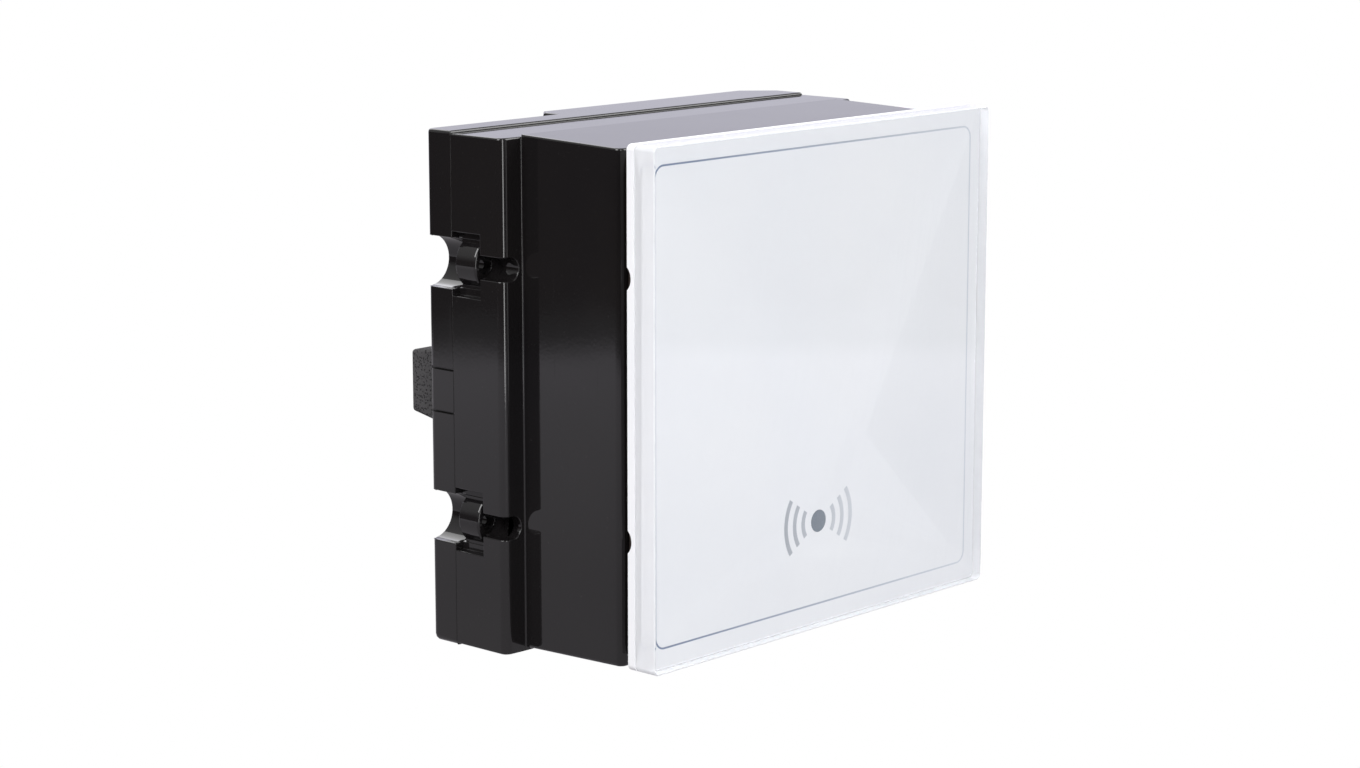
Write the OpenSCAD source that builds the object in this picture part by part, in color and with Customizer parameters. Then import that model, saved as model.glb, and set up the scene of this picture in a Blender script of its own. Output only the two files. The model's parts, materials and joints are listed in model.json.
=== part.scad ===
// Contactless card reader module for a flush door-station frame.
// Millimetres. X is the width, +Y points to the rear, +Z is up.
// The origin is the centre of the four fixing eyes, on the plane where they sit on the frame's posts.

/* [Front plate] */
// Width of the front plate
plate_w = 101.2; // [92:0.2:102]
// Height of the front plate
plate_tall = 100; // [94:0.2:101]
// How far the plate's centre lies above the housing's centre
plate_lift = 1.9; // [0:0.1:2]
// Corner radius of the front plate
plate_corner_r = 1.2; // [0.5:0.1:3]
// Thickness of the clear front window
window_t = 5.2; // [3:0.1:8]
// Thickness of the white tray behind the window
tray_t = 1.8; // [1.6:0.1:3]
// Distance of the printed border line from the plate's side edges
line_inset_x = 2.9; // [2:0.1:8]
// Distance of the printed border line from the plate's top and bottom edges
line_inset_z = 3.9; // [2:0.1:8]
// Width of the printed border line
line_w = 0.35; // [0.2:0.05:1]
// Height of the card symbol above the plate's centre
symbol_z = -29; // [-38:0.5:-15]
// Radius of the dot in the card symbol
dot_r = 2.25; // [2:0.05:2.6]

/* [Housing] */
// Overall width, across the wide rear band
body_w = 105; // [103:0.5:112]
// Overall height, across the rear cover
body_h = 102.4; // [100:0.2:112]
// How far the cover stands out past the shell at the top and the bottom
cover_lip = 0.5; // [0:0.1:1]
// How far the wide band stands out past the narrower front section, each side
band_step = 5.4; // [4.8:0.1:6]
// How far the narrower front section lies above the housing's centre
front_lift = 0.5; // [0:0.1:0.8]
// Draft of the front section's top and bottom, from its rear to its front
front_draft = 0.8; // [0:0.1:1]
// Depth of the narrower front section
front_depth = 25.9; // [18:0.1:40]
// Depth of the wide band
band_depth = 14; // [12:0.5:24]
// Depth of the rear cover
cover_depth = 7; // [6:0.5:12]
// Gap between the tray's back and the housing's front shoulder
neck_depth = 4.9; // [4.5:0.1:8]
// Wall thickness of the housing
wall = 2.2; // [1.6:0.1:3]

/* [Fixing eyes] */
// Height of the fixing screws above and below the centre
eye_z = 25.4; // [20:0.2:30]
// Radius of the bore for a fixing screw
eye_bore_r = 1.7; // [1.4:0.05:1.8]
// Depth of the fixing screw's axis below the band's outer face
eye_axis_depth = 2.7; // [2.7:0.05:2.9]
// Length of a fixing eye along the screw
eye_len = 5.5; // [4:0.1:6]

/* [Rear] */
// How far the raised dome stands behind the rear cover
dome_depth = 6; // [4:0.5:10]
// How far the tamper plunger stands out of the rear cover
plunger_out = 2.5; // [1.8:0.1:3]
// Travel of the tamper plunger
plunger_travel = 1.5; // [0.8:0.1:1.5]
// Depth of the sponge pad on the rear cover
pad_depth = 8.6; // [4:0.1:12]

/* [Electronics] */
// Turns of the aerial coil
coil_turns = 6; // [3:1:8]
// Thickness of the main circuit board
board_t = 1.6; // [1:0.1:2]

/* [Hidden] */
$fn = 64;
eps = 0.02;
far = 400;

// Planes along Y, from the rear forwards; the seat of the eyes is Y = 0
seam_y = 1;
cover_back_y = seam_y + cover_depth;
dome_back_y = cover_back_y + dome_depth;
step_y = seam_y - band_depth;
shoulder_y = step_y - front_depth;
tray_back_y = shoulder_y - neck_depth;
print_y = tray_back_y - tray_t;
plate_front_y = print_y - window_t;
plinth_front_y = tray_back_y + 2;
plinth_inner_y = plinth_front_y + wall;

// Half widths
band_hx = body_w / 2;
front_hx = band_hx - band_step;
cover_hz = body_h / 2;
shell_hz = cover_hz - cover_lip;
plinth_hx = front_hx - 4.25;
plinth_hz = shell_hz - 5;
plate_hx = plate_w / 2;
plate_hz = plate_tall / 2;
symbol_cz = symbol_z + plate_lift;

// Edge rounding of the housing
front_edge_r = 1.5;
band_edge_r = 1.6;
cover_edge_r = 1.5;

// Fixing channels
eye_x = band_hx - eye_axis_depth;
channel_r = 2.3;
channel_axis_depth = 2.1;
pocket_h = 12.6;
pocket_depth = 1.9;
pocket_len = 6.8;
arch_r = 5.5;
eye_root_r = 4.9;
post_gap = 0.15;
notch_r = eye_root_r + post_gap;
notch_axis_depth = 0.7;
notch_wall = 1.6;

// Printing
print_t = 0.15;
line_corner_r = 2.5;
wave_r = [4.7, 7.3, 9.9];
wave_w = 1.05;
wave_half_angle = 33;

// Cap hooks
hook_x = 24;
hook_w = 7;
hook_t = 1.4;
barb = 0.5;
hook_gap = 0.3;
hook_z = plinth_hz - 7;
hook_end_y = plinth_inner_y + 0.9;

// Light guide
guide_r = 1.6;

// Boards
aerial_front_y = plinth_inner_y + 1.2;
aerial_t = 1.2;
aerial_back_y = aerial_front_y + aerial_t;
aerial_size = 2 * (plinth_hx - wall) - 1.6;
main_front_y = step_y + 9;
main_back_y = main_front_y + board_t;
main_w = aerial_size + 3;
main_h = 2 * plinth_hz - 4;
post_x = 35;
post_z = 36;
screw_r = 1.2;
screw_hole_r = 1.25;
post_r = 2.75;

// Rear furniture
cover_inner_y = cover_back_y - 2;
dome_x0 = -16;
dome_z0 = eye_z + notch_r + 0.8;
socket_x = 20;
socket_z = dome_z0 + 7;
socket_w = 24;
socket_h = 9;
socket_len = 12;
tamper_x = 24;
tamper_z = -24;
plunger_r = 2;
setup_x = -22;
setup_z = -24;
button_r = 1.75;
latch_w = 8.6;

// A solid between two Y planes, from a 2D outline drawn as X to the right and Z up
module slab_y(y0, y1) {
  translate([0, y1, 0])
    rotate([90, 0, 0])
      linear_extrude(height = y1 - y0) children();
}

// A cylinder along Y
module rod_y(x, z, r, y0, y1) {
  translate([x, y1, z])
    rotate([90, 0, 0])
      cylinder(r = r, h = y1 - y0);
}

// A box given by its limits
module block(x0, x1, y0, y1, z0, z1) {
  translate([x0, y0, z0]) cube([x1 - x0, y1 - y0, z1 - z0]);
}

// A rectangle with round corners, centred
module round_rect(hx, hz, r) {
  union() {
    square([2 * hx, 2 * (hz - r)], center = true);
    square([2 * (hx - r), 2 * hz], center = true);
    for (sx = [-1, 1], sz = [-1, 1])
      translate([sx * (hx - r), sz * (hz - r)]) circle(r = r);
  }
}

// A plan-view rectangle in X and Y whose two corners at y0 are round
module round_front(hx, y0, y1, r) {
  inner = y0 < y1 ? y0 + r : y0 - r;
  lo = min(y0, y1);
  union() {
    translate([-hx, min(inner, y1)]) square([2 * hx, abs(y1 - inner)]);
    translate([-(hx - r), lo]) square([2 * (hx - r), abs(y1 - y0)]);
    for (s = [-1, 1]) translate([s * (hx - r), inner]) circle(r = r);
  }
}

// Children moved up to the front plate's centre
module at_plate() {
  translate([0, 0, plate_lift]) children();
}

// Children repeated at the four fixing positions, with +X pointing outwards
module at_eyes() {
  for (s = [0, 1], z = [-eye_z, eye_z])
    mirror([1 - s, 0, 0]) translate([0, 0, z]) children();
}

// ---------------------------------------------------------------- front cap

module front_window() {
  color([0.93, 0.95, 0.97, 0.35])
    at_plate() slab_y(plate_front_y, print_y) round_rect(plate_hx, plate_hz, plate_corner_r);
}

module hook(sx, sz) {
  arm_z = sz * hook_z;
  union() {
    block(sx * hook_x - hook_w / 2, sx * hook_x + hook_w / 2,
      tray_back_y - eps, hook_end_y, arm_z - hook_t / 2, arm_z + hook_t / 2);
    block(sx * hook_x - hook_w / 2, sx * hook_x + hook_w / 2,
      plinth_inner_y + 0.3, hook_end_y,
      arm_z - hook_t / 2 - (sz < 0 ? barb : 0), arm_z + hook_t / 2 + (sz > 0 ? barb : 0));
  }
}

module front_tray() {
  pry_r = 2.9;
  pry_offset = 1.9;
  pry_z = 25;
  color("whitesmoke")
    difference() {
      union() {
        at_plate() slab_y(print_y, tray_back_y) round_rect(plate_hx, plate_hz, plate_corner_r);
        for (sx = [-1, 1], sz = [-1, 1]) hook(sx, sz);
      }
      border_outline();
      symbol_dot_solid();
      symbol_wave_solids();
      rod_y(0, symbol_cz, guide_r + hook_gap, print_y + print_t - eps, tray_back_y + eps);
      for (s = [-1, 1], z = [-pry_z, pry_z])
        translate([s * plate_hx, tray_back_y + pry_offset, plate_lift + z])
          rotate([0, 90, 0]) cylinder(r = pry_r, h = 4, center = true);
    }
}

module border_outline() {
  hx = plate_hx - line_inset_x;
  hz = plate_hz - line_inset_z;
  at_plate()
    slab_y(print_y, print_y + print_t)
      difference() {
        round_rect(hx, hz, line_corner_r);
        round_rect(hx - line_w, hz - line_w, line_corner_r - line_w);
      }
}

module border_line() {
  color([0.62, 0.67, 0.76]) border_outline();
}

module symbol_dot_solid() {
  rod_y(0, symbol_cz, dot_r, print_y, print_y + print_t);
}

module symbol_dot() {
  color([0.38, 0.42, 0.48]) symbol_dot_solid();
}

module wave(r) {
  reach = r + wave_w;
  spread = reach * tan(wave_half_angle);
  difference() {
    circle(r = r + wave_w / 2);
    circle(r = r - wave_w / 2);
    polygon([
      [0, 0], [reach, spread], [reach, far], [-far, far],
      [-far, -far], [reach, -far], [reach, -spread]
    ]);
  }
}

module symbol_wave_solids() {
  translate([0, 0, symbol_cz])
    slab_y(print_y, print_y + print_t)
      for (s = [0, 1], r = wave_r) mirror([s, 0]) wave(r);
}

module symbol_waves() {
  color([0.70, 0.73, 0.78]) symbol_wave_solids();
}

// ------------------------------------------------------------------ housing

module neck_seal() {
  seal_gap = 0.3;
  seal_w = 2;
  color([0.16, 0.13, 0.12])
    slab_y(tray_back_y + seal_gap, shoulder_y)
      difference() {
        round_rect(plinth_hx + seal_gap + seal_w, plinth_hz + seal_gap + seal_w, 3);
        round_rect(plinth_hx + seal_gap, plinth_hz + seal_gap, 1);
      }
}

// Everything cut from the band for one fixing screw, drawn for the right-hand side
module channel_cut() {
  union() {
    rod_y(band_hx - channel_axis_depth, 0, channel_r, step_y - eps, -eye_len + eps);
    block(band_hx - channel_axis_depth, band_hx + 1, step_y - eps, -eye_len + eps, -channel_r, channel_r);
    block(band_hx - pocket_depth, band_hx + 1, -pocket_len, seam_y + eps, -pocket_h / 2, pocket_h / 2);
    rod_y(band_hx - notch_axis_depth, 0, eye_root_r, -eye_len, eps);
    notch_cut(0, seam_y + eps);
  }
}

// The half-round notch that a frame post enters from behind, drawn for the right-hand side
module notch_cut(y0, y1) {
  rod_y(band_hx - notch_axis_depth, 0, notch_r, y0, y1);
}

// The narrower front section, whose top and bottom draw in towards the plate
module front_section() {
  rear_hz = shell_hz - 0.1;
  front_hz = rear_hz - front_draft;
  intersection() {
    translate([0, 0, -body_h])
      linear_extrude(height = 2 * body_h) round_front(front_hx, shoulder_y, step_y + eps, front_edge_r);
    translate([-body_w, 0, front_lift])
      rotate([90, 0, 90])
        linear_extrude(height = 2 * body_w)
          polygon([
            [shoulder_y, -front_hz], [step_y, -rear_hz], [0, -rear_hz],
            [0, rear_hz], [step_y, rear_hz], [shoulder_y, front_hz]
          ]);
  }
}

module shell_body() {
  cavity_hz = shell_hz - wall;
  front_cavity_hz = cavity_hz - front_draft - front_lift;
  difference() {
    union() {
      front_section();
      translate([0, 0, -shell_hz])
        linear_extrude(height = 2 * shell_hz) round_front(band_hx, step_y, seam_y, band_edge_r);
      slab_y(plinth_front_y, shoulder_y + eps) round_rect(plinth_hx, plinth_hz, 1);
    }
    slab_y(plinth_inner_y, shoulder_y + wall + eps)
      square([2 * (plinth_hx - wall), 2 * (plinth_hz - wall)], center = true);
    block(-(front_hx - wall), front_hx - wall, shoulder_y + wall, seam_y + eps,
      -front_cavity_hz, front_cavity_hz);
    difference() {
      block(-(band_hx - wall), band_hx - wall, step_y + wall, seam_y + eps, -cavity_hz, cavity_hz);
      at_eyes()
        block(band_hx - notch_axis_depth - notch_r - notch_wall, band_hx, step_y - 1, seam_y + 1,
          -pocket_h / 2 - notch_wall, pocket_h / 2 + notch_wall);
    }
  }
}

module middle_shell() {
  boss_r = 3;
  color([0.09, 0.09, 0.10])
    difference() {
      union() {
        shell_body();
        for (x = [-post_x, post_x], z = [-post_z, post_z])
          rod_y(x, z, boss_r, plinth_inner_y - eps, aerial_front_y);
      }
      at_eyes() channel_cut();
      for (x = [-post_x, post_x], z = [-post_z, post_z])
        rod_y(x, z, screw_hole_r, plinth_front_y + 0.6, aerial_front_y + eps);
      for (sx = [-1, 1], sz = [-1, 1]) hook_slot(sx, sz);
      rod_y(0, symbol_cz, guide_r + 0.05, plinth_front_y - eps, plinth_inner_y + eps);
    }
}

// Slot in the plinth's front wall for one cap hook
module hook_slot(sx, sz) {
  arm_z = sz * hook_z;
  block(sx * hook_x - hook_w / 2 - hook_gap, sx * hook_x + hook_w / 2 + hook_gap,
    plinth_front_y - eps, plinth_inner_y + eps,
    arm_z - hook_t / 2 - hook_gap - (sz < 0 ? barb : 0),
    arm_z + hook_t / 2 + hook_gap + (sz > 0 ? barb : 0));
}

// One fixing eye, drawn for the right-hand side: an arched strap on a half-round root, over the screw bore
module screw_eye() {
  color([0.13, 0.13, 0.14])
    difference() {
      intersection() {
        rod_y(band_hx - notch_axis_depth, 0, eye_root_r, -eye_len, 0);
        union() {
          rod_y(band_hx - arch_r, 0, arch_r, -eye_len, 0);
          block(band_hx - 2 * eye_root_r, band_hx - pocket_depth, -eye_len, 0, -eye_root_r, eye_root_r);
        }
      }
      rod_y(eye_x, 0, eye_bore_r, -eye_len - eps, eps);
    }
}

module screw_eye_right_upper() { translate([0, 0, eye_z]) screw_eye(); }
module screw_eye_right_lower() { translate([0, 0, -eye_z]) screw_eye(); }
module screw_eye_left_upper() { mirror([1, 0, 0]) screw_eye_right_upper(); }
module screw_eye_left_lower() { mirror([1, 0, 0]) screw_eye_right_lower(); }

// Outline of the raised dome on the rear cover, with its outer corner cut off
module dome_plan(x0, x1, y1, chamfer) {
  polygon([
    [x0, cover_inner_y], [x1, cover_inner_y], [x1, y1 - chamfer],
    [x1 - chamfer, y1], [x0 + 2, y1], [x0, y1 - 2]
  ]);
}

module cover_body() {
  inner_hx = band_hx - wall;
  inner_hz = cover_hz - wall;
  dome_wall = 2;
  difference() {
    union() {
      translate([0, 0, -cover_hz])
        linear_extrude(height = body_h) round_front(band_hx, cover_back_y, seam_y, cover_edge_r);
      translate([0, 0, dome_z0])
        linear_extrude(height = cover_hz - dome_z0) dome_plan(dome_x0, band_hx, dome_back_y, dome_depth);
    }
    difference() {
      block(-inner_hx, inner_hx, seam_y - eps, cover_inner_y, -inner_hz, inner_hz);
      at_eyes() rod_y(band_hx - notch_axis_depth, 0, notch_r + notch_wall, seam_y - 1, cover_back_y);
    }
    translate([0, 0, dome_z0 + dome_wall])
      linear_extrude(height = cover_hz - dome_z0 - 2 * dome_wall)
        dome_plan(dome_x0 + dome_wall, band_hx - dome_wall - 2, dome_back_y - dome_wall, dome_depth - 1);
  }
}

module rear_cover() {
  groove_w = 0.5;
  groove_d = 0.7;
  socket_gap = 0.4;
  color([0.08, 0.08, 0.09])
    difference() {
      cover_body();
      at_eyes() notch_cut(seam_y - eps, cover_back_y + 1);
      for (s = [-1, 1], z = [-latch_w / 2, latch_w / 2])
        block(s * band_hx - groove_d, s * band_hx + groove_d, seam_y - eps, cover_back_y + 1,
          z - groove_w / 2, z + groove_w / 2);
      block(socket_x - socket_w / 2 - socket_gap, socket_x + socket_w / 2 + socket_gap,
        cover_inner_y - 1, dome_back_y + 1,
        socket_z - socket_h / 2 - socket_gap, socket_z + socket_h / 2 + socket_gap);
      rod_y(tamper_x, tamper_z, plunger_r + 0.1, cover_inner_y - 1, cover_back_y + 1);
      rod_y(setup_x, setup_z, 1.5, cover_inner_y - 1, cover_back_y + 1);
    }
}

module cover_seal() {
  color([0.2, 0.2, 0.2])
    slab_y(seam_y - 1.4, seam_y)
      difference() {
        square([2 * (front_hx - wall), 2 * (shell_hz - wall)], center = true);
        square([2 * (front_hx - wall - 1.2), 2 * (shell_hz - wall - 1.2)], center = true);
      }
}

module side_tab() {
  tab_len = 6;
  tab_y = shoulder_y + 9;
  color([0.88, 0.88, 0.92, 0.8])
    block(front_hx, front_hx + 2.4, tab_y - tab_len / 2, tab_y + tab_len / 2,
      shell_hz - 1.8, shell_hz - 0.4);
}

module rear_pad() {
  pad_x0 = -(band_hx - 2.5);
  pad_w = 13;
  base_hz = 7.4;
  end_hz = 6.2;
  taper = 0.8;
  color([0.15, 0.15, 0.16])
    hull() {
      block(pad_x0, pad_x0 + pad_w, cover_back_y, cover_back_y + 0.1, -base_hz, base_hz);
      block(pad_x0 + taper, pad_x0 + pad_w - taper,
        cover_back_y + pad_depth - 0.1, cover_back_y + pad_depth, -end_hz, end_hz);
    }
}

// -------------------------------------------------------------- electronics

module board_holes(y0, y1) {
  for (x = [-post_x, post_x], z = [-post_z, post_z]) rod_y(x, z, screw_hole_r, y0 - eps, y1 + eps);
}

module aerial_board() {
  color("darkgreen")
    difference() {
      slab_y(aerial_front_y, aerial_back_y) square([aerial_size, aerial_size], center = true);
      board_holes(aerial_front_y, aerial_back_y);
    }
}

// Corner k of the square spiral that the aerial's track follows, counted from the outside
coil_half = 24.5;
coil_pitch = 1.3;
track_w = 0.7;
track_t = 0.1;
function spiral_reach(k) = coil_half - floor(k / 4) * coil_pitch;
function spiral_corner(k) =
  let (q = k % 4)
  q == 0 ? [-spiral_reach(k - 1), -spiral_reach(k)] :
  q == 1 ? [spiral_reach(k), -spiral_reach(k)] :
  q == 2 ? [spiral_reach(k), spiral_reach(k)] :
  [-spiral_reach(k), spiral_reach(k)];

module aerial_coil() {
  color("peru")
    slab_y(aerial_front_y - track_t, aerial_front_y)
      for (k = [0 : 4 * coil_turns - 1]) {
        a = spiral_corner(k);
        b = spiral_corner(k + 1);
        translate([min(a[0], b[0]) - track_w / 2, min(a[1], b[1]) - track_w / 2])
          square([abs(b[0] - a[0]) + track_w, abs(b[1] - a[1]) + track_w]);
      }
}

module ferrite_sheet() {
  sheet_t = 0.4;
  color([0.22, 0.21, 0.22])
    slab_y(aerial_back_y, aerial_back_y + sheet_t)
      square([aerial_size - 14, aerial_size - 18], center = true);
}

module indicator_led() {
  led_t = 0.8;
  color([0.95, 0.93, 0.75])
    block(-1.6, 1.6, aerial_front_y - led_t, aerial_front_y, symbol_cz - 1.4, symbol_cz + 1.4);
}

module light_guide() {
  color([0.9, 0.95, 1, 0.5])
    rod_y(0, symbol_cz, guide_r, print_y + print_t + 0.1, aerial_front_y - 0.8);
}

module main_board() {
  color("darkgreen")
    difference() {
      slab_y(main_front_y, main_back_y) square([main_w, main_h], center = true);
      board_holes(main_front_y, main_back_y);
    }
}

module board_spacers() {
  color("gainsboro")
    for (x = [-post_x, post_x], z = [-post_z, post_z])
      difference() {
        rod_y(x, z, post_r, aerial_back_y, main_front_y);
        rod_y(x, z, screw_hole_r, aerial_back_y - eps, main_front_y + eps);
      }
}

module board_screws() {
  head_r = 2.3;
  head_t = 1.5;
  socket_r = 1.1;
  color("silver")
    for (x = [-post_x, post_x], z = [-post_z, post_z])
      difference() {
        union() {
          rod_y(x, z, screw_r, plinth_front_y + 0.8, main_back_y + eps);
          rod_y(x, z, head_r, main_back_y, main_back_y + head_t);
        }
        translate([x, main_back_y + head_t - 0.9, z])
          rotate([-90, 0, 0]) cylinder(r = socket_r, h = 1, $fn = 6);
      }
}

module board_link() {
  color([0.1, 0.1, 0.1])
    block(-9, 9, aerial_back_y, main_front_y, -37.5, -35);
}

// A chip body with legs along its two upright sides, standing on the rear of the main board
module chip(x, z, w, h, t, legs) {
  pitch = h / (legs + 1);
  union() {
    block(x - w / 2, x + w / 2, main_back_y + 0.1, main_back_y + t, z - h / 2, z + h / 2);
    for (s = [-1, 1], i = [1 : legs])
      block(x + s * (w / 2 + 0.4) - 0.45, x + s * (w / 2 + 0.4) + 0.45, main_back_y, main_back_y + 0.3,
        z - h / 2 + i * pitch - 0.2, z - h / 2 + i * pitch + 0.2);
  }
}

module reader_chip() {
  color([0.12, 0.12, 0.13]) chip(-18, 8, 7, 7, 1, 8);
}

module control_chip() {
  color([0.12, 0.12, 0.13]) chip(8, -4, 12, 12, 1.4, 16);
}

module memory_chip() {
  color([0.12, 0.12, 0.13]) chip(-4, 22, 4, 5, 1.5, 4);
}

module crystal() {
  color("silver")
    slab_y(main_back_y, main_back_y + 3.5)
      translate([-5, 8]) round_rect(2, 5, 1.9);
}

module power_coil() {
  color([0.25, 0.25, 0.26])
    difference() {
      block(-34, -24, main_back_y, main_back_y + 4, 12, 22);
      rod_y(-29, 17, 3, main_back_y + 3, main_back_y + 5);
    }
}

module capacitors() {
  color([0.2, 0.24, 0.4])
    for (p = [[-26, 30, 4], [-14, 30, 4], [26, -12, 3.15]])
      rod_y(p[0], p[1], p[2], main_front_y - 11, main_front_y);
}

module bridge_rectifier() {
  color([0.13, 0.13, 0.13])
    block(-31, -24.5, main_back_y, main_back_y + 2.6, 28, 33);
}

module small_parts() {
  color("tan")
    union() {
      for (i = [0 : 5]) block(-26 + i * 3, -24.8 + i * 3, main_back_y, main_back_y + 0.6, -6, -4);
      for (i = [0 : 4]) block(22, 24, main_back_y, main_back_y + 0.6, 2 + i * 3, 3.2 + i * 3);
      for (i = [0 : 4]) block(-4 + i * 3, -2.8 + i * 3, main_back_y, main_back_y + 0.6, -20, -18);
    }
}

module buzzer() {
  color([0.1, 0.1, 0.1])
    difference() {
      rod_y(20, 12, 6, main_front_y - 9.5, main_front_y);
      rod_y(20, 12, 1.25, main_front_y - 10, main_front_y - 7);
    }
}

module bus_socket() {
  socket_wall = 1.2;
  mouth = 8;
  color([0.12, 0.12, 0.12])
    difference() {
      block(socket_x - socket_w / 2, socket_x + socket_w / 2, main_back_y, main_back_y + socket_len,
        socket_z - socket_h / 2, socket_z + socket_h / 2);
      block(socket_x - socket_w / 2 + socket_wall, socket_x + socket_w / 2 - socket_wall,
        main_back_y + socket_len - mouth, main_back_y + socket_len + 1,
        socket_z - socket_h / 2 + socket_wall, socket_z + socket_h / 2 - socket_wall);
      pin_set(0.02);
    }
}

module pin_set(grow) {
  pin_h = 0.32;
  for (i = [0 : 3])
    block(socket_x + (i - 1.5) * 5.08 - pin_h - grow, socket_x + (i - 1.5) * 5.08 + pin_h + grow,
      main_back_y, main_back_y + 10, socket_z - pin_h - grow, socket_z + pin_h + grow);
}

module bus_pins() {
  color("gold") pin_set(0);
}

// --------------------------------------------------------------- small moves

switch_top_y = main_back_y + 5.2;
plunger_tip_y = cover_back_y + plunger_out;

module tamper_switch() {
  color([0.15, 0.15, 0.18])
    difference() {
      block(tamper_x - 4, tamper_x + 4, main_back_y, switch_top_y, tamper_z - 4, tamper_z + 4);
      rod_y(tamper_x, tamper_z, plunger_r + 0.1, switch_top_y - 3.4, switch_top_y + 1);
    }
}

module tamper_plunger() {
  collar_r = 3;
  collar_y = switch_top_y + plunger_travel + 0.3;
  tip_r = 0.6;
  color("ivory")
    union() {
      rod_y(tamper_x, tamper_z, plunger_r, switch_top_y - 0.8, plunger_tip_y - tip_r);
      rod_y(tamper_x, tamper_z, plunger_r - tip_r, plunger_tip_y - tip_r - eps, plunger_tip_y);
      rod_y(tamper_x, tamper_z, collar_r, collar_y, cover_inner_y - 0.3);
      translate([tamper_x, plunger_tip_y - tip_r, tamper_z])
        rotate([90, 0, 0])
          rotate_extrude() translate([plunger_r - tip_r, 0]) circle(r = tip_r);
    }
}

module setup_switch() {
  color("silver")
    difference() {
      block(setup_x - 3, setup_x + 3, main_back_y, main_back_y + 3.2, setup_z - 3, setup_z + 3);
      rod_y(setup_x, setup_z, button_r + 0.05, main_back_y + 1.5, main_back_y + 4);
    }
}

module setup_button() {
  color([0.1, 0.1, 0.1])
    rod_y(setup_x, setup_z, button_r, main_back_y + 2.1, main_back_y + 6);
}

front_window();
front_tray();
border_line();
symbol_dot();
symbol_waves();
neck_seal();
middle_shell();
rear_cover();
cover_seal();
screw_eye_left_upper();
screw_eye_left_lower();
screw_eye_right_upper();
screw_eye_right_lower();
side_tab();
rear_pad();
aerial_board();
aerial_coil();
ferrite_sheet();
indicator_led();
light_guide();
main_board();
board_spacers();
board_screws();
board_link();
reader_chip();
control_chip();
memory_chip();
crystal();
power_coil();
capacitors();
bridge_rectifier();
small_parts();
buzzer();
bus_socket();
bus_pins();
tamper_switch();
tamper_plunger();
setup_switch();
setup_button();
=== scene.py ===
"""Looks of the contactless card reader: camera, studio, moulded and printed detail, and every material."""

import json
import math

import bmesh
import bpy
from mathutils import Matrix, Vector

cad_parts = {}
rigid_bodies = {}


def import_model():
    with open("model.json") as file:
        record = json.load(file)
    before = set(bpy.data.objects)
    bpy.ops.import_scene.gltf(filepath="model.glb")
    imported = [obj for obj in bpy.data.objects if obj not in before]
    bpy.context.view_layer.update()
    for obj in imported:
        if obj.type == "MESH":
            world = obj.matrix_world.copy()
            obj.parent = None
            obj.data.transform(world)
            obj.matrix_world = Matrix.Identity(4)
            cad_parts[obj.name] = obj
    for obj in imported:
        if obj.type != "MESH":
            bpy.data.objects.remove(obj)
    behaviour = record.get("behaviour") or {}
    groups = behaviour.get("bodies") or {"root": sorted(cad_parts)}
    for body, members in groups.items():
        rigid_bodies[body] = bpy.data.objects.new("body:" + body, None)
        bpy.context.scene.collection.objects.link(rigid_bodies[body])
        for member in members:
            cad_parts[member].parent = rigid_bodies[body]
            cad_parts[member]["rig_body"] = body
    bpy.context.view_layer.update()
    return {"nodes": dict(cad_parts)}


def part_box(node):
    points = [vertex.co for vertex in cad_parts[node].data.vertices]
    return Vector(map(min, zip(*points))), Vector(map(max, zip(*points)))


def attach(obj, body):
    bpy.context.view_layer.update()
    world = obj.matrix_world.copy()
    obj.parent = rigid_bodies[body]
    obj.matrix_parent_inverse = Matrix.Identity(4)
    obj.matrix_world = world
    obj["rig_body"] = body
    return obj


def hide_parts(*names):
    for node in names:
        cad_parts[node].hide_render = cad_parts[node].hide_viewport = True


MM = 0.001

# ------------------------------------------------------------------ the frame

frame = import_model()
NODES = frame["nodes"]
SCENE = bpy.context.scene

# An edge is rounded where its faces turn by more than SHARP; places closer than NEAR are the same place
SHARP = math.radians(38)
NEAR = 0.02 * MM
CLOSE = 0.1 * MM

# The narrowest rounding, for edges that look crisp
HAIRLINE = 0.04 * MM

# Places on the moulded pieces; the outer ones are read from the CAD nodes' own boxes
BAND_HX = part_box("middle_shell")[1].x
SEAM_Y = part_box("middle_shell")[1].y
COVER_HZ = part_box("rear_cover")[1].z
PLATE_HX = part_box("front_window")[1].x
FRONT_HX = 47.1 * MM
STEP_Y = -13.0 * MM
TRAY_BACK_Y = -43.8 * MM
EYE_X = 49.8 * MM
EYE_Z = 25.4 * MM
EYE_BORE_R = 1.7 * MM
POCKET_DEPTH = 1.9 * MM
COVER_BACK_Y = 8.0 * MM
DOME_Z = 31.25 * MM

# Half-height of the stretch of side wall that a fixing eye's cuts take up
EYE_REACH = 7 * MM

# Above this height, and below it mirrored, an edge belongs to the shell's top or bottom
SHELL_TOP_Z = 49 * MM

# Half-height of the grooves beside the rear cover's snap tongues
TONGUE_REACH = 5 * MM


# ------------------------------------------------------------- node shorthand

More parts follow.
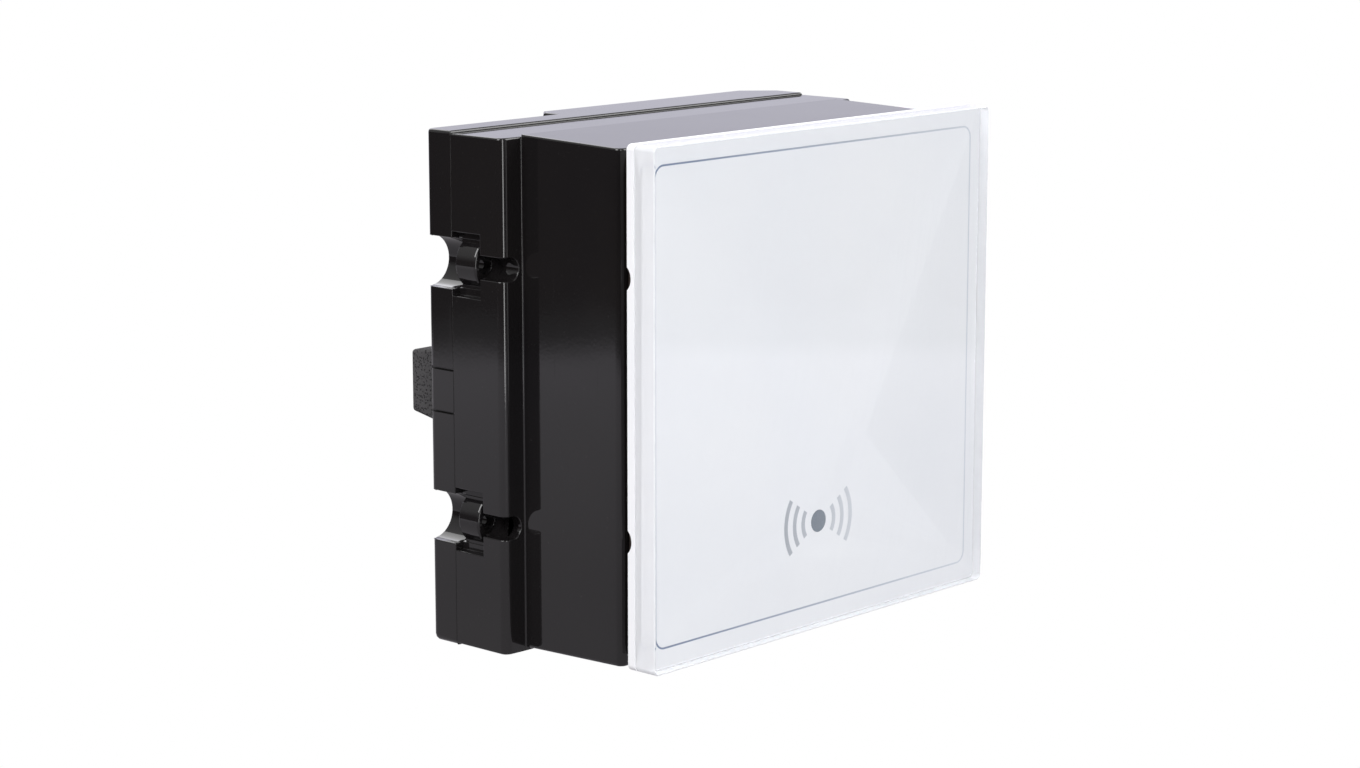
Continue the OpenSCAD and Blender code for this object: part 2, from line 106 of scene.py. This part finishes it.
class Tree:
    """Short names for making and joining shader nodes."""

    def __init__(self, tree):
        tree.nodes.clear()
        self.tree = tree

    def add(self, kind, inputs=None, **settings):
        n = self.tree.nodes.new(kind)
        for key, value in settings.items():
            setattr(n, key, value)
        for key, value in (inputs or {}).items():
            socket = n.inputs[key]
            if isinstance(value, bpy.types.NodeSocket):
                self.tree.links.new(value, socket)
            else:
                socket.default_value = value
        return n

    def math(self, operation, a, b=0.0, clamp=False):
        return self.add("ShaderNodeMath", {0: a, 1: b}, operation=operation, use_clamp=clamp).outputs[0]

    def ramp(self, factor, stops):
        """A colour ramp: stops are (place, grey or colour)."""
        n = self.add("ShaderNodeValToRGB", {0: factor})
        elements = n.color_ramp.elements
        while len(elements) < len(stops):
            elements.new(0.5)
        for element, (place, colour) in zip(elements, stops):
            element.position = place
            element.color = colour if isinstance(colour, tuple) else (colour, colour, colour, 1)
        return n.outputs[0]

    def map_range(self, value, low, high, at_low, at_high):
        inputs = {0: value, 1: low, 2: high, 3: at_low, 4: at_high}
        return self.add("ShaderNodeMapRange", inputs).outputs[0]

    def noise(self, vector, scale, detail=4.0, roughness=0.5):
        inputs = {"Vector": vector, "Scale": scale, "Detail": detail, "Roughness": roughness}
        return self.add("ShaderNodeTexNoise", inputs).outputs["Fac"]

    def mix_colour(self, factor, a, b):
        n = self.add("ShaderNodeMix", {0: factor, 6: a, 7: b}, data_type="RGBA")
        return n.outputs[2]

    def bump(self, height, distance, strength=1.0, normal=None):
        inputs = {"Height": height, "Distance": distance, "Strength": strength}
        if normal is not None:
            inputs["Normal"] = normal
        return self.add("ShaderNodeBump", inputs).outputs[0]

    def place(self):
        """Where a point is in its object's own space, in metres."""
        return self.add("ShaderNodeTexCoord").outputs["Object"]


def new_material(name):
    m = bpy.data.materials.new(name)
    m.use_nodes = True
    return m, Tree(m.node_tree)


def finish_material(t, surface):
    t.add("ShaderNodeOutputMaterial", {"Surface": surface})


def plastic(name, colour, second, patch_scale, rough, grain_scale, grain_depth, **sockets):
    """Moulded plastic or rubber: two close colours in soft patches, uneven gloss and a fine skin."""
    m, t = new_material(name)
    place = t.place()
    patches = t.ramp(t.noise(place, patch_scale), [(0.35, 0.0), (0.65, 1.0)])
    base = t.mix_colour(patches, colour + (1,), second + (1,))
    gloss = t.ramp(t.noise(place, patch_scale * 2.3, 6.0, 0.65), [(0.3, rough[0]), (0.7, rough[1])])
    skin = t.bump(t.noise(place, grain_scale, 3.0), grain_depth)
    inputs = {"Base Color": base, "Roughness": gloss, "Normal": skin, **sockets}
    finish_material(t, t.add("ShaderNodeBsdfPrincipled", inputs).outputs[0])
    return m


def gloss_black():
    """Polished black moulding with a little dust and faint hairlines."""
    m, t = new_material("gloss_black")
    place = t.place()
    dust = t.ramp(t.noise(place, 2600.0, 2.0, 0.7), [(0.70, 0.0), (0.78, 1.0)])
    warm = t.ramp(t.noise(place, 30.0, 2.0), [
        (0.3, (0.0075, 0.0068, 0.0075, 1)), (0.7, (0.0095, 0.0085, 0.0085, 1))])
    base = t.mix_colour(t.math("MULTIPLY", dust, 0.16), warm, (0.22, 0.21, 0.21, 1))
    stretch = t.add("ShaderNodeMapping", {"Vector": place, "Scale": (900.0, 900.0, 25.0)}).outputs[0]
    hairs = t.ramp(t.noise(stretch, 1.0, 2.0, 0.6), [(0.66, 0.0), (0.72, 1.0)])
    cloudy = t.ramp(t.noise(place, 70.0, 5.0, 0.6), [(0.3, 0.045), (0.7, 0.075)])
    rough = t.math("ADD", cloudy, t.math("MULTIPLY", t.math("MAXIMUM", hairs, dust), 0.06))
    skin = t.bump(t.noise(place, 1500.0, 2.0), 0.000002)
    sinks = t.bump(t.noise(place, 40.0, 1.0), 0.00006, 1.0, skin)
    inputs = {"Base Color": base, "Roughness": rough, "Normal": sinks, "IOR": 1.5}
    finish_material(t, t.add("ShaderNodeBsdfPrincipled", inputs).outputs[0])
    return m


def clear_acrylic():
    """Polished clear slab; lamps shine through it to the white tray behind."""
    m, t = new_material("clear_acrylic")
    place = t.place()
    smudge = t.ramp(t.noise(place, 60.0, 5.0, 0.6), [(0.35, 0.004), (0.75, 0.03)])
    skin = t.bump(t.noise(place, 35.0, 1.0), 0.00001)
    glass = t.add("ShaderNodeBsdfPrincipled", {
        "Base Color": (0.985, 0.988, 0.995, 1), "Roughness": smudge, "Normal": skin,
        "IOR": 1.49, "Transmission Weight": 1.0}).outputs[0]
    clear = t.add("ShaderNodeBsdfTransparent", {"Color": (0.97, 0.98, 0.985, 1)}).outputs[0]
    path = t.add("ShaderNodeLightPath")
    lamp_ray = t.math("MAXIMUM", path.outputs["Is Shadow Ray"], path.outputs["Is Diffuse Ray"])
    finish_material(t, t.add("ShaderNodeMixShader", {0: lamp_ray, 1: glass, 2: clear}).outputs[0])
    return m


def milky_edge():
    """The sawn and polished rim of the slab, milky with the light that the tray throws into it."""
    m, t = new_material("milky_edge")
    place = t.place()
    cloud = t.noise(place, 220.0, 4.0)
    tone = t.mix_colour(cloud, (0.88, 0.895, 0.93, 1), (0.93, 0.935, 0.95, 1))
    rough = t.ramp(t.noise(place, 700.0), [(0.3, 0.08), (0.7, 0.2)])
    milk = t.add("ShaderNodeBsdfPrincipled", {
        "Base Color": tone, "Roughness": rough, "Normal": t.bump(cloud, 0.00001), "IOR": 1.49,
        "Transmission Weight": 0.4}).outputs[0]
    clear = t.add("ShaderNodeBsdfTransparent", {"Color": (0.95, 0.96, 0.97, 1)}).outputs[0]
    path = t.add("ShaderNodeLightPath")
    lamp_ray = t.math("MAXIMUM", path.outputs["Is Shadow Ray"], path.outputs["Is Diffuse Ray"])
    finish_material(t, t.add("ShaderNodeMixShader", {0: lamp_ray, 1: milk, 2: clear}).outputs[0])
    return m


def white_tray():
    """Bright white moulding with a faint satin grain and a tone that varies a little at random."""
    m, t = new_material("white_tray")
    place = t.place()
    speck = t.noise(place, 1800.0, 3.0)
    tone = t.ramp(t.noise(place, 25.0, 3.0), [(0.3, (0.83, 0.84, 0.865, 1)), (0.7, (0.86, 0.865, 0.88, 1))])
    base = t.mix_colour(t.math("MULTIPLY", speck, 0.06), tone, (0.9, 0.9, 0.92, 1))
    rough = t.ramp(t.noise(place, 300.0), [(0.3, 0.42), (0.7, 0.55)])
    inputs = {"Base Color": base, "Roughness": rough, "Normal": t.bump(speck, 0.00001)}
    finish_material(t, t.add("ShaderNodeBsdfPrincipled", inputs).outputs[0])
    return m


def ink_and_painted_shade(name, near, away, half_width):
    """Printed ink, and the border line's painted shade, fading from the plate's left side to its right, with
    the dots of the screen in it.
    """
    m, t = new_material(name)
    place = t.place()
    x = t.add("ShaderNodeSeparateXYZ", {0: place}).outputs[0]
    across = t.math("ADD", t.math("DIVIDE", x, 2 * half_width), 0.5, clamp=True)
    # On the border line this left-to-right fade is painted shade: the gap of a step, shaded at the left and
    # lit at the right.
    fade = t.mix_colour(across, near + (1,), away + (1,))
    screen = t.add("ShaderNodeTexVoronoi", {"Vector": place, "Scale": 5200.0}).outputs["Distance"]
    base = t.mix_colour(t.math("MULTIPLY", screen, 0.12), fade, (0.85, 0.87, 0.9, 1))
    rough = t.ramp(t.noise(place, 900.0), [(0.3, 0.45), (0.7, 0.6)])
    inputs = {"Base Color": base, "Roughness": rough, "Normal": t.bump(screen, 0.000004)}
    finish_material(t, t.add("ShaderNodeBsdfPrincipled", inputs).outputs[0])
    return m


def sponge():
    """Black open-cell sponge: small pits, with painted shade dark inside them and greyer walls between them.
    """
    m, t = new_material("sponge_rubber")
    place = t.place()
    wobble = t.noise(place, 700.0, 2.0)
    voronoi = {"Vector": place, "Scale": 1700.0, "Randomness": 1.0}
    cells = t.add("ShaderNodeTexVoronoi", voronoi).outputs["Distance"]
    pits = t.ramp(t.math("MULTIPLY", cells, t.math("ADD", wobble, 0.6)), [(0.12, 0.0), (0.5, 1.0)])
    # Painted shade: the pits are darker inside than the walls between them.
    base = t.mix_colour(pits, (0.008, 0.008, 0.009, 1), (0.06, 0.058, 0.06, 1))
    rough = t.ramp(wobble, [(0.3, 0.72), (0.7, 0.95)])
    inputs = {
        "Base Color": base, "Roughness": rough, "Normal": t.bump(pits, 0.00022), "Specular IOR Level": 0.35}
    finish_material(t, t.add("ShaderNodeBsdfPrincipled", inputs).outputs[0])
    return m


def board_green():
    """Solder mask over copper: the tracks show as slightly raised, lighter lines."""
    m, t = new_material("board_green")
    place = t.place()
    tracks = t.add("ShaderNodeTexBrick", {
        "Vector": place, "Scale": 420.0, "Mortar Size": 0.05, "Color1": (0, 0, 0, 1),
        "Color2": (0.2, 0.2, 0.2, 1), "Mortar": (1, 1, 1, 1)}, offset=0.37).outputs[0]
    base = t.mix_colour(tracks, (0.006, 0.065, 0.02, 1), (0.02, 0.16, 0.05, 1))
    rough = t.ramp(t.noise(place, 400.0), [(0.3, 0.25), (0.7, 0.4)])
    inputs = {"Base Color": base, "Roughness": rough, "Normal": t.bump(tracks, 0.00003)}
    finish_material(t, t.add("ShaderNodeBsdfPrincipled", inputs).outputs[0])
    return m


def metal(name, colour, second, rough, grain_scale):
    m, t = new_material(name)
    place = t.place()
    tone = t.mix_colour(t.noise(place, 260.0, 4.0), colour + (1,), second + (1,))
    gloss = t.ramp(t.noise(place, grain_scale, 4.0), [(0.3, rough[0]), (0.7, rough[1])])
    skin = t.bump(t.noise(place, grain_scale * 2, 2.0), 0.000005)
    inputs = {"Base Color": tone, "Roughness": gloss, "Normal": skin, "Metallic": 1.0}
    finish_material(t, t.add("ShaderNodeBsdfPrincipled", inputs).outputs[0])
    return m


MATERIALS = {
    "gloss_black": gloss_black(),
    "clear_window": clear_acrylic(),
    "milky_edge": milky_edge(),
    "white_plastic": white_tray(),
    # The border line is painted shade: the gap of a step in the tray, dark blue-grey on the left, pale grey
    # on the right.
    "border_gap_shade": ink_and_painted_shade("border_gap_shade", (0.16, 0.21, 0.33), (0.62, 0.65, 0.70), 0.046),
    "dark_print": ink_and_painted_shade("dark_print", (0.15, 0.18, 0.22), (0.20, 0.23, 0.27), 0.004),
    "wave_print": ink_and_painted_shade("wave_print", (0.38, 0.40, 0.44), (0.62, 0.64, 0.68), 0.011),
    "seal_rubber": plastic(
        "seal_rubber", (0.022, 0.014, 0.011), (0.03, 0.019, 0.015), 200.0, (0.55, 0.75), 2500.0, 1e-5),
    "sponge_rubber": sponge(),
    "frosted_plastic": plastic(
        "frosted_plastic", (0.80, 0.80, 0.85), (0.86, 0.86, 0.90), 150.0, (0.4, 0.55), 1500.0, 1e-5,
        **{"Subsurface Weight": 0.3, "Subsurface Scale": 0.002}),
    "light_plastic": plastic(
        "light_plastic", (0.86, 0.90, 0.93), (0.92, 0.94, 0.95), 300.0, (0.05, 0.15), 900.0, 3e-6,
        **{"Transmission Weight": 0.7}),
    "board": board_green(),
    "copper": metal("copper", (0.85, 0.42, 0.22), (0.75, 0.33, 0.16), (0.2, 0.4), 900.0),
    "ferrite": plastic(
        "ferrite", (0.03, 0.028, 0.03), (0.045, 0.043, 0.045), 400.0, (0.6, 0.8), 3000.0, 1.5e-5),
    "steel": metal("steel", (0.62, 0.62, 0.64), (0.5, 0.51, 0.53), (0.22, 0.38), 700.0),
    "gold_pins": metal("gold_pins", (1.0, 0.72, 0.30), (0.9, 0.6, 0.24), (0.15, 0.28), 900.0),
    "chip_black": plastic(
        "chip_black", (0.012, 0.012, 0.013), (0.02, 0.02, 0.021), 350.0, (0.4, 0.6), 4000.0, 1e-5),
    "capacitor_sleeve": plastic(
        "capacitor_sleeve", (0.02, 0.03, 0.11), (0.03, 0.04, 0.14), 250.0, (0.2, 0.35), 900.0, 6e-6),
    "ceramic": plastic(
        "ceramic", (0.42, 0.31, 0.20), (0.52, 0.40, 0.27), 900.0, (0.3, 0.5), 2500.0, 5e-6),
    "ivory_plastic": plastic(
        "ivory_plastic", (0.70, 0.67, 0.58), (0.76, 0.73, 0.65), 200.0, (0.3, 0.45), 1800.0, 8e-6),
}


# --------------------------------------------------------------------- pieces

def give(obj, material):
    obj.data.materials.clear()
    obj.data.materials.append(MATERIALS[material])
    return obj


def smooth(obj):
    """Smooth shading that keeps edges sharper than 35 degrees."""
    bpy.context.view_layer.objects.active = obj
    for o in bpy.data.objects:
        o.select_set(o is obj)
    bpy.ops.object.shade_smooth_by_angle(angle=math.radians(35))


def whole_faces(bm):
    """Joins the triangles of every flat face."""
    bmesh.ops.remove_doubles(bm, verts=bm.verts, dist=0.025 * MM)
    bmesh.ops.dissolve_limit(bm, angle_limit=math.radians(0.5), verts=bm.verts, edges=bm.edges)


def set_roundings(bm, rule):
    """Gives each sharp edge the rule's rounding, as a share of the widest, and returns the widest."""
    layer = bm.edges.layers.float.new("bevel_weight_edge")
    widths = {}
    for edge in bm.edges:
        if len(edge.link_faces) == 2 and edge.calc_face_angle() > SHARP:
            start, end = (vert.co for vert in edge.verts)
            widths[edge] = rule((start + end) / 2, end - start)
    widest = max(widths.values())
    for edge, width in widths.items():
        edge[layer] = width / widest
    return widest


def moulded(node, name, material, rule, segments=3):
    """A piece in the CAD node's shape with its flat faces made whole and every sharp edge rounded."""
    mesh = NODES[node].data.copy()
    mesh.name = name
    obj = bpy.data.objects.new(name, mesh)
    SCENE.collection.objects.link(obj)
    bm = bmesh.new()
    bm.from_mesh(mesh)
    whole_faces(bm)
    widest = set_roundings(bm, rule)
    bm.to_mesh(mesh)
    bm.free()
    smooth(obj)
    bevel = obj.modifiers.new("rounded_edges", "BEVEL")
    bevel.width = widest
    bevel.segments = segments
    bevel.limit_method = "WEIGHT"
    bevel.use_clamp_overlap = False
    bevel.material = -1
    normals = obj.modifiers.new("flat_faces_stay_flat", "WEIGHTED_NORMAL")
    normals.mode = "FACE_AREA"
    normals.weight = 80
    normals.keep_sharp = True
    give(obj, material)
    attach(obj, NODES[node]["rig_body"])
    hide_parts(node)
    return obj


# A rule takes the middle of an edge and the way it runs, and returns the width of its rounding.

def everywhere(width):
    return lambda place, along: width


def along_depth(along):
    return abs(along.y) > 0.9 * along.length


def by_an_eye(place):
    return abs(abs(place.z) - EYE_Z) < EYE_REACH and abs(place.x) > FRONT_HX - 1 * MM


def shell_edges(place, along):
    """Widest below the front section, narrower on its top and on the band, and finest in the channels."""
    if abs(place.y - SEAM_Y) < NEAR:
        return 0.18 * MM
    if by_an_eye(place):
        strap_seat = abs(place.y) < CLOSE
        return HAIRLINE if strap_seat else 0.18 * MM
    if abs(place.z) > SHELL_TOP_Z:
        step_corner = abs(place.y - STEP_Y) < CLOSE and abs(place.x) < FRONT_HX + CLOSE
        if step_corner:
            return HAIRLINE
        under_the_front = place.y < STEP_Y - CLOSE and place.z < 0
        return 0.7 * MM if under_the_front else 0.36 * MM
    return 0.3 * MM if abs(place.x) > FRONT_HX - 1 * MM else 0.2 * MM


def cover_edges(place, along):
    """The cover's outline is rounder at the bottom than at the top; its grooves and holes stay crisp."""
    if abs(place.y - SEAM_Y) < NEAR:
        if place.z > COVER_HZ - NEAR:
            return 0.4 * MM
        return 0.2 * MM if abs(place.z) > TONGUE_REACH else 0.06 * MM
    dome_foot = abs(place.y - COVER_BACK_Y) < NEAR and DOME_Z - NEAR < place.z < COVER_HZ - NEAR
    dome_bottom = abs(place.z - DOME_Z) < NEAR
    if dome_foot or dome_bottom:
        return HAIRLINE
    if by_an_eye(place):
        return 0.2 * MM
    if abs(place.z) < TONGUE_REACH and abs(place.x) > BAND_HX - 2 * MM:
        return 0.06 * MM
    if place.z < -COVER_HZ + NEAR:
        return 1.3 * MM
    if place.z > COVER_HZ - NEAR:
        return 0.6 * MM
    return 0.25 * MM


def strap_edges(place, along):
    """A strap's free front edge is well rounded, its back less so, and its foot and bore hardly at all."""
    if abs(place.x) < BAND_HX - POCKET_DEPTH + NEAR or along_depth(along):
        return 0.05 * MM
    if math.hypot(abs(place.x) - EYE_X, abs(place.z) - EYE_Z) < EYE_BORE_R + CLOSE:
        return 0.05 * MM
    return 0.5 * MM if place.y < -1 * MM else 0.2 * MM


def tray_edges(place, along):
    """The tray's rear rim is rounded; its face, printing grooves and hooks keep crisp edges."""
    rim = abs(place.y - TRAY_BACK_Y) < NEAR and abs(place.x) > 0.93 * PLATE_HX
    return 0.12 * MM if rim else HAIRLINE


moulded("middle_shell", "shell_moulding", "gloss_black", shell_edges)
moulded("rear_cover", "rear_cover_moulding", "gloss_black", cover_edges)
window = moulded("front_window", "window_slab", "clear_window", everywhere(0.3 * MM))
window.data.materials.append(MATERIALS["milky_edge"])

# The slab's front and back are clear, and its four sides milky
for face in window.data.polygons:
    face.material_index = 0 if abs(face.normal.y) > 0.7 else 1

moulded("front_tray", "tray_moulding", "white_plastic", tray_edges, 2)
moulded("neck_seal", "neck_seal_ring", "seal_rubber", everywhere(0.4 * MM))
moulded("side_tab", "side_tab_moulding", "frosted_plastic", everywhere(0.3 * MM))
for side in ("left", "right"):
    for level in ("upper", "lower"):
        node = f"screw_eye_{side}_{level}"
        moulded(node, node + "_strap", "gloss_black", strap_edges)

pad = moulded("rear_pad", "rear_pad_sponge", "sponge_rubber", everywhere(0.7 * MM), 4)

CAD_LOOKS = {
    "border_line": "border_gap_shade", "symbol_dot": "dark_print", "symbol_waves": "wave_print",
    "cover_seal": "seal_rubber", "aerial_board": "board", "aerial_coil": "copper",
    "ferrite_sheet": "ferrite", "indicator_led": "light_plastic", "light_guide": "light_plastic",
    "main_board": "board", "board_spacers": "ivory_plastic", "board_screws": "steel",
    "board_link": "chip_black", "reader_chip": "chip_black", "control_chip": "chip_black",
    "memory_chip": "chip_black", "crystal": "steel", "power_coil": "ferrite",
    "capacitors": "capacitor_sleeve", "bridge_rectifier": "chip_black", "small_parts": "ceramic",
    "buzzer": "chip_black", "bus_socket": "chip_black", "bus_pins": "gold_pins",
    "tamper_switch": "chip_black", "tamper_plunger": "ivory_plastic",
    "setup_switch": "steel", "setup_button": "chip_black",
}
for node, material in CAD_LOOKS.items():
    give(NODES[node], material)
    smooth(NODES[node])


# ------------------------------------------------------------ camera and light

# Where the camera stands, which way it looks and the lens in millimetres
CAMERA_PLACE = Vector((-0.46694, -0.43685, 0.11619))
CAMERA_AZIMUTH = math.radians(47.635)
CAMERA_ELEVATION = math.radians(10.787)
CAMERA_LENS = 82.968

# The table top, and how far out its glow starts and stops fading, in metres
FLOOR_Z = -0.17
FLOOR_RADIUS = 1.15
GLOW_FULL_TO = 1.0
GLOW_GONE_AT = 1.06


def look(obj, place, target):
    obj.location = place
    obj.rotation_euler = (Vector(target) - Vector(place)).to_track_quat("-Z", "Y").to_euler()


def add_camera():
    """The reader seen from its front left and a little above, through a long lens."""
    level = math.cos(CAMERA_ELEVATION)
    ahead = Vector((
        math.sin(CAMERA_AZIMUTH) * level, math.cos(CAMERA_AZIMUTH) * level, -math.sin(CAMERA_ELEVATION)))
    data = bpy.data.cameras.new("camera")
    data.lens = CAMERA_LENS
    data.sensor_width = 36.0
    data.clip_start = 0.01
    camera = bpy.data.objects.new("camera", data)
    SCENE.collection.objects.link(camera)
    look(camera, CAMERA_PLACE, CAMERA_PLACE + ahead)
    SCENE.camera = camera


def add_floor():
    """A pale round table top: its glow fades at the rim in reflections, and it is clear from below."""
    bm = bmesh.new()
    bmesh.ops.create_circle(bm, cap_ends=True, segments=96, radius=FLOOR_RADIUS)
    mesh = bpy.data.meshes.new("floor")
    bm.to_mesh(mesh)
    bm.free()
    floor = bpy.data.objects.new("floor", mesh)
    floor.location.z = FLOOR_Z
    SCENE.collection.objects.link(floor)
    m, t = new_material("floor")
    far_out = t.add("ShaderNodeVectorMath", {0: t.place()}, operation="LENGTH").outputs["Value"]
    fade = t.ramp(far_out, [
        (0.0, (0.30, 0.28, 0.31, 1)), (0.55, (0.34, 0.32, 0.35, 1)),
        (0.8, (0.48, 0.46, 0.5, 1)), (0.99, (0.64, 0.61, 0.67, 1))])
    rim = t.map_range(far_out, GLOW_FULL_TO, GLOW_GONE_AT, 1.0, 0.0)
    glow = t.add("ShaderNodeEmission", {"Color": fade, "Strength": rim}).outputs[0]
    diffuse = t.add("ShaderNodeBsdfDiffuse", {"Color": (0.12, 0.12, 0.12, 1)}).outputs[0]
    lit = t.add("ShaderNodeAddShader", {0: diffuse, 1: glow}).outputs[0]
    white = t.add("ShaderNodeEmission", {"Color": (1, 1, 1, 1), "Strength": 1.0}).outputs[0]
    camera_ray = t.add("ShaderNodeLightPath").outputs["Is Camera Ray"]
    upper = t.add("ShaderNodeMixShader", {0: camera_ray, 1: lit, 2: white}).outputs[0]
    below = t.add("ShaderNodeNewGeometry").outputs["Backfacing"]
    through = t.add("ShaderNodeBsdfTransparent").outputs[0]
    finish_material(t, t.add("ShaderNodeMixShader", {0: below, 1: upper, 2: through}).outputs[0])
    mesh.materials.append(m)


def add_world():
    """White backdrop; what reflects is bright above and far behind, and dark along the horizon elsewhere."""
    world = bpy.data.worlds.new("studio")
    world.use_nodes = True
    SCENE.world = world
    t = Tree(world.node_tree)
    direction = t.add("ShaderNodeTexCoord").outputs["Generated"]
    height = t.add("ShaderNodeSeparateXYZ", {0: direction}).outputs[2]
    level = t.math("MULTIPLY", t.math("ADD", height, 1.0), 0.5)
    sky = t.ramp(level, [(0.0, 0.05), (0.53, (0.06, 0.05, 0.05, 1)), (0.66, 0.45), (1.0, 0.6)])
    far_side = {0: direction, 1: (0.742, 0.671, 0.0)}
    ahead = t.add("ShaderNodeVectorMath", far_side, operation="DOT_PRODUCT").outputs["Value"]
    backdrop = t.ramp(ahead, [(0.72, 0.0), (0.86, (0.47, 0.465, 0.53, 1))])
    higher = t.map_range(height, 0.16, 0.24, 1.8, 2.6)
    raised = t.add("ShaderNodeVectorMath", {0: backdrop, "Scale": higher}, operation="SCALE").outputs[0]
    seen = t.add("ShaderNodeVectorMath", {0: sky, 1: raised}, operation="MAXIMUM").outputs[0]
    lit = t.add("ShaderNodeBackground", {"Color": seen, "Strength": 1.0}).outputs[0]
    white = t.add("ShaderNodeBackground", {"Color": (1, 1, 1, 1), "Strength": 1.0}).outputs[0]
    camera_ray = t.add("ShaderNodeLightPath").outputs["Is Camera Ray"]
    both = t.add("ShaderNodeMixShader", {0: camera_ray, 1: lit, 2: white}).outputs[0]
    t.add("ShaderNodeOutputWorld", {"Surface": both})


def add_softbox(name, place, size, watts, target=(0, 0, 0)):
    """A rectangular lamp; places and sizes are in metres."""
    data = bpy.data.lights.new(name, "AREA")
    data.shape = "RECTANGLE"
    data.size, data.size_y = size
    data.energy = watts
    lamp = bpy.data.objects.new(name, data)
    SCENE.collection.objects.link(lamp)
    look(lamp, place, target)


add_camera()
add_floor()
add_world()
add_softbox("key_softbox", (-0.40, -0.75, 0.37), (0.2, 1.06), 4.0, (0, 0, 0.37))
add_softbox("side_softbox", (-1.1, 0.05, 0.95), (0.8, 0.8), 15.0)
add_softbox("fill_softbox", (0.85, -0.85, 0.85), (0.9, 0.9), 13.0)
add_softbox("rear_softbox", (0.5, 1.1, 1.0), (0.9, 0.9), 6.0)

SCENE.view_settings.view_transform = "Standard"
